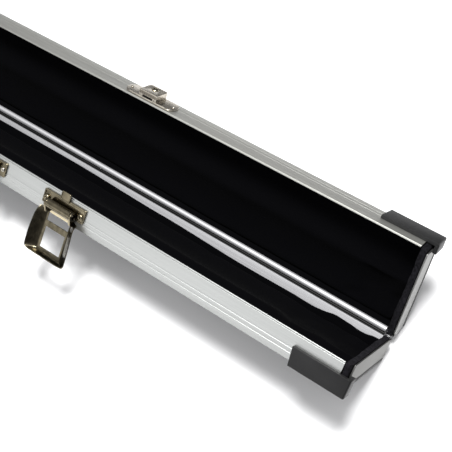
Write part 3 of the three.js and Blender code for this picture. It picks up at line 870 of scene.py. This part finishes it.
def latch_plate(x, label):
    """The stamped base plate: rimmed plate, lower tongue, tab over the mouth and rolled knuckle."""
    half, top, low, tongue_half, tongue_low = 24.0, -4.0, -17.0, 13.0, -23.0
    profile = [(half, top), (half, low), (tongue_half, low), (tongue_half, tongue_low)]
    whole = rounded([(x - a, z) for a, z in profile] + [(x + a, z) for a, z in reversed(profile)],
                    [1.4, 1.4, 0.6, 1.2, 1.2, 0.6, 1.4, 1.4])
    sheet = plate_xz(whole, 0.3, 1.3, bevel=0.2)
    rim_out = rounded(rectangle(x - half, x + half, low, top), 1.4)
    rim_in = rounded(rectangle(x - half + 1.5, x + half - 1.5, low + 1.4, top - 1.5), 1.0)
    rim = plate_xz(rim_out, 1.1, 1.85, holes=[rim_in], bevel=0.25)
    tab_half, tab_top = 5.2, 2.6
    tab_out = rounded(rectangle(x - tab_half, x + tab_half, top - 1.6, tab_top), [0.3, 0.3, 1.4, 1.4])
    tab = plate_xz(tab_out, 1.9, 2.9, bevel=0.2)
    tab_in = rounded(rectangle(x - tab_half + 1, x + tab_half - 1, top - 0.6, tab_top - 1), 0.8)
    tab_rim = plate_xz(tab_out, 2.7, 3.15, holes=[tab_in], bevel=0.15)
    foot = rounded_box(x - tab_half, x + tab_half, LATCH_FACE - 2.6, LATCH_FACE - 1.0, top - 1.6, top, 0.25)
    out = -PIVOT_Y + LATCH_FACE
    gusset = [(-out + 0.4, -9.0), (-out + 0.5, -1.6)]
    knuckle = gusset + arc((0, 0), EYE_R, 158, -150, 34) + arc((0, 0), PIN_R + PIN_PLAY, -150, 158, 28)
    knuckle += [(-4.25, -1.5), (-4.4, -9.0)]
    rolled = sweep([(PIVOT_Y - h, PIVOT_Z + z) for h, z in knuckle],
                   (x - BARREL_HALF, x - BARREL_HALF + 0.2, x + BARREL_HALF - 0.2, x + BARREL_HALF))
    bm = join(sheet, rim, tab, tab_rim, foot, rolled)
    piece(f"latch_plate_{label}_stamped", bm, BASE, NICKEL, replaces=[f"latch_plate_{label}"])


def latch_pin(x, label):
    """The hollow rivet pin, with eased ends."""
    node = f"latch_pin_{label}"
    bore = PIN_R - 0.5
    profile = [(PIN_R - 0.15, -PIN_HALF), (PIN_R, -PIN_HALF + 0.2), (PIN_R, PIN_HALF - 0.2),
               (PIN_R - 0.15, PIN_HALF), (bore + 0.1, PIN_HALF), (bore, PIN_HALF - 0.3),
               (bore, -PIN_HALF + 0.3), (bore + 0.1, -PIN_HALF)]
    bm = remapped(lathe(profile, 32), ((0, 1, 0), (1, 0, 0), (0, 0, 1)))
    # the near-black colour is painted shade for the hole through the knuckle
    piece(f"{node}_hollow", moved(bm, x, PIVOT_Y, PIVOT_Z), BASE, SHADED_PIN_STEEL,
          replaces=[node], sharp=50)


# The lever: where its sheet starts and ends down from the pivot, the depth of its skin, its mesh
# lines, and the slot and window cut in it.
LEVER_FROM, LEVER_TO = 5.3, 47.6
SKIN = -4.4
LEVER_COLUMNS = (0.0, 6.0, 10.4, 11.5, 12.5, 13.4)
LEVER_ROWS = (5.3, 6.3, 8.5, 12.5, 15.8, 16.8, 17.9, 19.6, 21.3, 22.4, 23.6, 28.0, 32.5, 37.0, 41.6,
              43.0, 43.8)
SLOT_HALF, SLOT_TO = 12.5, 16.8
WINDOW_HALF, WINDOW_FROM, WINDOW_TO = 11.5, 22.4, 43.0
END_FROM = 44.0


def lever_half(s):
    """Half width of the lever at s down from the pivot."""
    t = (s - LEVER_FROM) / (LEVER_TO - LEVER_FROM)
    return 21.0 + 2.6 * t + 0.8 * math.sin(math.pi * t)


def lever_rim(s):
    """Height of the turned-up flank: low by the pivot, highest a third of the way down."""
    t = (s - LEVER_FROM) / (LEVER_TO - LEVER_FROM)
    rise = min(1.0, t / 0.1)
    rise = rise * rise * (3 - 2 * rise)
    return -1.0 + rise * (4.1 + 0.7 * math.sin(math.pi * t)) - 0.2 * t


def lever_shell(x):
    """The dished frame of the lever: slot, cross bar and window in a sheet with turned-up flanks."""
    bend = LEVER_COLUMNS[-1]
    half_columns = [(a, 0.0) for a in LEVER_COLUMNS] + [(bend, t / 6) for t in range(1, 7)]
    columns = [(-1, a, t) for a, t in reversed(half_columns[1:])] + [(1, a, t) for a, t in half_columns]
    rows = [(s, 0.0) for s in LEVER_ROWS] + [(END_FROM, t / 5) for t in range(1, 6)]
    bm = bmesh.new()
    grid = []
    for s0, te in rows:
        line = []
        for hand, a0, ta in columns:
            along = math.sin(te * math.pi / 2)
            s = s0 + (LEVER_TO - END_FROM) * along * math.sqrt(1 - 0.3 * ta ** 2)
            width = lever_half(s) - bend
            a = a0 + width * ta * math.sqrt(1 - 0.3 * along ** 2)
            lift = 1 - (1 - ta ** 1.35) * math.cos(te * math.pi / 2)
            h = SKIN + (lever_rim(s) - SKIN) * lift
            line.append(bm.verts.new((x + hand * a, PIVOT_Y - h, PIVOT_Z - s)))
        grid.append(line)
    for r in range(len(rows) - 1):
        for c in range(len(columns) - 1):
            reach = max(columns[c][1], columns[c + 1][1])
            s0, s1 = rows[r][0], rows[r + 1][0]
            in_slot = reach <= SLOT_HALF and s1 <= SLOT_TO
            in_window = reach <= WINDOW_HALF and s0 >= WINDOW_FROM and s1 <= WINDOW_TO
            if not (in_slot or in_window):
                bm.faces.new((grid[r][c], grid[r][c + 1], grid[r + 1][c + 1], grid[r + 1][c]))
    loose = [v for v in bm.verts if not v.link_faces]
    bmesh.ops.delete(bm, geom=loose, context="VERTS")
    shell = temporary(bm)
    modify(shell, "wall", "SOLIDIFY", thickness=0.95, offset=0)
    ease_edges(shell, 0.28, 2)
    modify(shell, "smooth", "SUBSURF", levels=1)
    return evaluated_bmesh(shell)


def lever_eye(x0, x1):
    """An eye round the pin with the strap that joins it to the shell."""
    strap = arc((0, 0), EYE_R, -25, 180, 28) + [(-4.6, -4.5), (-5.0, -9.0), (-3.0, -9.8), (0.4, -8.4)]
    outline = [(PIVOT_Y - h, PIVOT_Z + z) for h, z in strap]
    hole = arc((PIVOT_Y, PIVOT_Z), PIN_R + PIN_PLAY, 0, 352.5, 47)
    return plate_yz(outline, x0, x1, holes=[hole], bevel=0.25, segments=3)


def lever(x, label):
    eyes = [lever_eye(x + hand * EYE_FROM, x + hand * EYE_TO) for hand in (-1, 1)]
    bm = join(lever_shell(x), *eyes)
    node = f"latch_lever_{label}"
    piece(f"{node}_pressed", bm, BASE, NICKEL, f"lever_{label}", [node])


def keeper(x, label):
    """The keeper on the lid: a round-ended plate, a bead on its mouth edge and the ribbed lock box."""
    node = f"keeper_{label}"
    low, high = LID.box(node)
    z0, z1 = low.z, high.z
    middle, reach = (z0 + z1) / 2, (z1 - z0) / 2
    edge_half, bulge = 20.5, 7.8
    outline = []
    for hand in (1, -1):
        for i in range(17):
            angle = -math.pi / 2 + math.pi * i / 16
            outline.append((x + hand * (edge_half + bulge * math.cos(angle)),
                            middle + hand * reach * math.sin(angle)))
    plate = plate_xz(outline, 0.3, 1.6, bevel=0.4, segments=3)
    bead = rounded_box(x - edge_half, x + edge_half, LATCH_FACE - 2.1, LATCH_FACE - 1.2, z0, z0 + 0.75, 0.3)
    half, lock_from, lock_to, face = 10.2, 3.3, 20.6, 8.6
    box_outline = rounded(rectangle(x - half, x + half, lock_from, lock_to), [0.6, 0.6, 2.2, 2.2])
    seat = arc((x, LOCK_Z), LOCK_R + PIN_PLAY, 0, 350, 35)
    box = plate_xz(box_outline, 1.2, face, holes=[seat], bevel=0.7, segments=4)
    slot_half = 5.7
    box = cut(box, rounded_box(x - slot_half, x + slot_half, LATCH_FACE - 4.2, LATCH_FACE - 1.65,
                               1.0, 8.0, 0.15, 1))
    ribs = []
    count = 8
    for i in range(count):
        rib_x = x - half + 1.6 + (2 * half - 3.2) * i / (count - 1)
        ribs.append(rounded_box(rib_x - 0.45, rib_x + 0.45, LATCH_FACE - face + 0.9, LATCH_FACE - 4.7,
                                lock_from - 0.28, lock_from + 0.5, 0.2))
    ribs.append(rounded_box(x - half + 0.8, x + half - 0.8, LATCH_FACE - face + 0.8, LATCH_FACE - 4.6,
                            lock_from - 0.1, lock_from + 0.4, 0.08, 1))
    post = rounded_box(x + 6.1, x + 7.5, LATCH_FACE - 4.3, LATCH_FACE - 1.3, z0 - 0.2, z0 + 1.2, 0.35)
    piece(f"{node}_plate", join(plate, bead, post), LID, PALE_NICKEL, replaces=[node])
    piece(f"{node}_lock_box", box, LID, PALE_NICKEL)
    # the ribs take the darker copy: painted shade
    piece(f"{node}_ribs", join(*ribs), LID, SHADED_RIB_NICKEL)


def lock_cylinder(x, label):
    """The keyed plug: a turned face with a raised ring and a keyway."""
    node = f"lock_cylinder_{label}"
    low, high = LID.box(node)
    back, front = high.y, low.y
    profile = [(0, back), (LOCK_R, back), (LOCK_R, front + 0.3), (LOCK_R - 0.25, front),
               (LOCK_R - 0.8, front), (LOCK_R - 1.0, front + 0.3), (0, front + 0.3)]
    plug = moved(lathe(profile, 36), x, 0, LOCK_Z)
    keyway = rounded_box(x - 0.45, x + 0.45, front - 1, front + 1.6, LOCK_Z - 2.0, LOCK_Z + 2.0, 0.15, 1)
    piece(f"{node}_plug", cut(plug, keyway), LID, NICKEL, f"lock_{label}", [node])


# ---- handle ----
def handle_grip():
    """The carrying handle: a padded-looking moulded grip with finger swells, and two arms with eyes."""
    node = "handle_grip"
    low, high = BASE.box(node)
    z_mid = low.z + 6.5
    reach = high.x
    stations = []
    count = 48
    for i in range(count + 1):
        x = -reach + 2 * reach * i / count
        u = abs(x) / reach
        close = math.sqrt(max(0.0, 1 - max(0.0, (u - 0.93) / 0.07) ** 2)) * 0.6 + 0.4 if u > 0.93 else 1.0
        swell = 1 + 0.05 * math.cos(x * 2 * math.pi / 21) if u < 0.85 else 1.0
        ring = []
        for k in range(24):
            angle = 2 * math.pi * k / 24
            c, s = math.cos(angle), math.sin(angle)
            ry, rz = 4.4 * close, 6.3 * close * (swell if s < 0 else 1)
            ring.append((HANDLE_Y - 0.5 + ry * math.copysign(abs(c) ** 0.7, c),
                         z_mid + rz * math.copysign(abs(s) ** 0.7, s)))
        stations.append((x, ring))
    grip = sweep(None, stations)
    arms = []
    for hand in (-1, 1):
        x = hand * HANDLE_X
        side = arc((0, 0), HANDLE_EYE_R, 0, 180, 16) + [(-2.6, z_mid - HANDLE_Z), (2.6, z_mid - HANDLE_Z)]
        outline = [(HANDLE_Y + a, HANDLE_Z + b) for a, b in side]
        hole = arc((HANDLE_Y, HANDLE_Z), HANDLE_EYE_HOLE_R, 0, 345, 23)
        arms.append(plate_yz(outline, x - 3, x + 3, holes=[hole], bevel=0.6, segments=3))
    piece("handle_grip_moulded", join(grip, *arms), BASE, GRIP, "handle", [node], 45)


def handle_bracket(x, label):
    """A riveted foot with two ears that carry the handle's pin."""
    node = f"handle_bracket_{label}"
    out = LATCH_FACE - HANDLE_Y
    foot = plate_xz(rounded(rectangle(x - 14, x + 14, -18, -4), 2.5), 0.3, 1.6, bevel=0.35, segments=3)
    ears = []
    for hand in (-1, 1):
        middle = x + hand * 4.2
        side = arc((0, 0), HANDLE_EYE_R, -60, 60, 10) + [(-out + 1.0, 3.4), (-out + 1.0, -3.4)]
        outline = [(HANDLE_Y - h, HANDLE_Z + z) for h, z in side]
        hole = arc((HANDLE_Y, HANDLE_Z), HANDLE_EAR_HOLE_R, 0, 345, 23)
        ears.append(plate_yz(outline, middle - 0.85, middle + 0.85, holes=[hole], bevel=0.2))
    piece(f"{node}_pressed", join(foot, *ears), BASE, NICKEL, replaces=[node])


def handle_pin(x, label):
    """A plain pin with chamfered ends."""
    node = f"handle_pin_{label}"
    low, high = BASE.box(node)
    radius = (high.y - low.y) / 2
    half = (high.x - low.x) / 2
    profile = [(0, -half), (radius - 0.5, -half), (radius, -half + 0.4), (radius, half - 0.4),
               (radius - 0.5, half), (0, half)]
    bm = remapped(lathe(profile, 28), ((0, 1, 0), (1, 0, 0), (0, 0, 1)))
    piece(f"{node}_turned", moved(bm, x, HANDLE_Y, HANDLE_Z), BASE, STEEL, replaces=[node])


# ---- build ----
lid_hinge_rail()
base_hinge_rail()
for tray in (BASE, LID):
    latch_rail(tray)
    panel(tray)
    floor_pad(tray)
    linings(tray)
    for end, label in ENDS:
        end_block(tray, end, label)
        end_plate(tray, end, label)
        corner_cap(tray, end, label)
for end, label in ENDS:
    latch_plate(end * LATCH_X, label)
    latch_pin(end * LATCH_X, label)
    lever(end * LATCH_X, label)
    keeper(end * LATCH_X, label)
    lock_cylinder(end * LATCH_X, label)
    handle_bracket(end * HANDLE_X, label)
    handle_pin(end * HANDLE_X, label)
    for place in ("a", "b"):
        add_rivet(f"latch_rivet_{label}_{place}", BASE, LATCH_RIVET_R, NICKEL)
        add_rivet(f"keeper_rivet_{label}_{place}", LID, KEEPER_RIVET_R, PALE_NICKEL,
                  KEEPER_RIVET_FLAT)
        add_rivet(f"handle_rivet_{label}_{place}", BASE, HANDLE_RIVET_R, STEEL)
handle_grip()


# ---- floor, light and camera ----
FLOOR_RADIUS = 0.72
FLOOR_CENTRE = (0.05, -0.30, 0)
KEY_AT = (0.30, 0.24, 1.6)
KEY_SIZE = 0.45
KEY_WATTS = 46
# Bright screens round the room: direction, half angles of the full and the fading part, radiance.
SCREENS = (((-0.38, -0.80, 0.40), 10, 32, 1.9),
           ((-0.42, 0.90, 0.10), 10, 26, 0.25))


def stage_floor():
    bm = bmesh.new()
    bmesh.ops.create_circle(bm, cap_ends=True, segments=96, radius=FLOOR_RADIUS)
    bmesh.ops.translate(bm, verts=bm.verts, vec=FLOOR_CENTRE)
    mesh = new_mesh("floor", bm)
    material, _, shader = new_material("pale_floor")
    shader.inputs["Base Color"].default_value = (0.86, 0.86, 0.865, 1)
    shader.inputs["Roughness"].default_value = 0.9
    shader.inputs["Specular IOR Level"].default_value = 0.1
    mesh.materials.append(material)
    put("floor", mesh)


def studio_world():
    """A white studio to the camera; for light and reflections a dim room with a few bright screens."""
    world = bpy.data.worlds.new("studio")
    bpy.context.scene.world = world
    world.use_nodes = True
    tree = world.node_tree
    background = tree.nodes["Background"]
    coords = add_node(tree, "ShaderNodeTexCoord")
    direction = coords.outputs["Generated"]
    split = add_node(tree, "ShaderNodeSeparateXYZ", Vector=direction)
    room = ramp(tree, split.outputs["Z"], (0.0, (0.10, 0.10, 0.104)), (0.25, (0.17, 0.17, 0.175)),
                (0.62, (0.50, 0.50, 0.51)), (1.0, (0.9, 0.9, 0.9)))
    for toward, inner, outer, bright in SCREENS:
        facing = vector_math(tree, "DOT_PRODUCT", direction, Vector(toward).normalized())
        cosines = [math.cos(math.radians(angle)) for angle in (outer, inner)]
        spot = add_node(tree, "ShaderNodeMapRange", Value=facing.outputs["Value"],
                        From_Min=cosines[0], From_Max=cosines[1])
        room = mixed(tree, spot.outputs["Result"], room, (bright, bright, bright * 1.01))
    path = add_node(tree, "ShaderNodeLightPath")
    seen = mixed(tree, path.outputs["Is Camera Ray"], room, (1.0, 1.0, 1.0))
    tree.links.new(seen, background.inputs["Color"])
    background.inputs["Strength"].default_value = 1.0


def key_light():
    """A soft box above and behind the case, aimed at its middle."""
    light = bpy.data.lights.new("key", "AREA")
    light.shape = "RECTANGLE"
    light.size, light.size_y = KEY_SIZE, KEY_SIZE
    light.energy = KEY_WATTS
    obj = put("key", light)
    obj.location = KEY_AT
    obj.rotation_mode = "QUATERNION"
    obj.rotation_quaternion = Vector(KEY_AT).to_track_quat("Z", "Y")


# The camera's place and directions in the base tray's axes.
CAMERA_AT = Vector((549.3, -697.0, 274.2))
CAMERA_LOOK = Vector((-0.3775, 0.8674, -0.3243))
CAMERA_UP = Vector((-0.4568, 0.1302, 0.8800))
LENS = 70.5
SENSOR = 36


def camera():
    data = bpy.data.cameras.new("camera")
    data.lens = LENS
    data.sensor_width = SENSOR
    data.clip_start = 0.02
    obj = put("camera", data)
    turn = BASE.matrix.to_3x3().normalized()
    back = -(turn @ CAMERA_LOOK).normalized()
    right = (turn @ CAMERA_UP).cross(back).normalized()
    place = Matrix((right, back.cross(right), back)).transposed().to_4x4()
    place.translation = BASE.matrix @ CAMERA_AT
    obj.matrix_world = place
    bpy.context.scene.camera = obj


stage_floor()
studio_world()
key_light()
camera()
bpy.context.scene.view_settings.view_transform = "Standard"
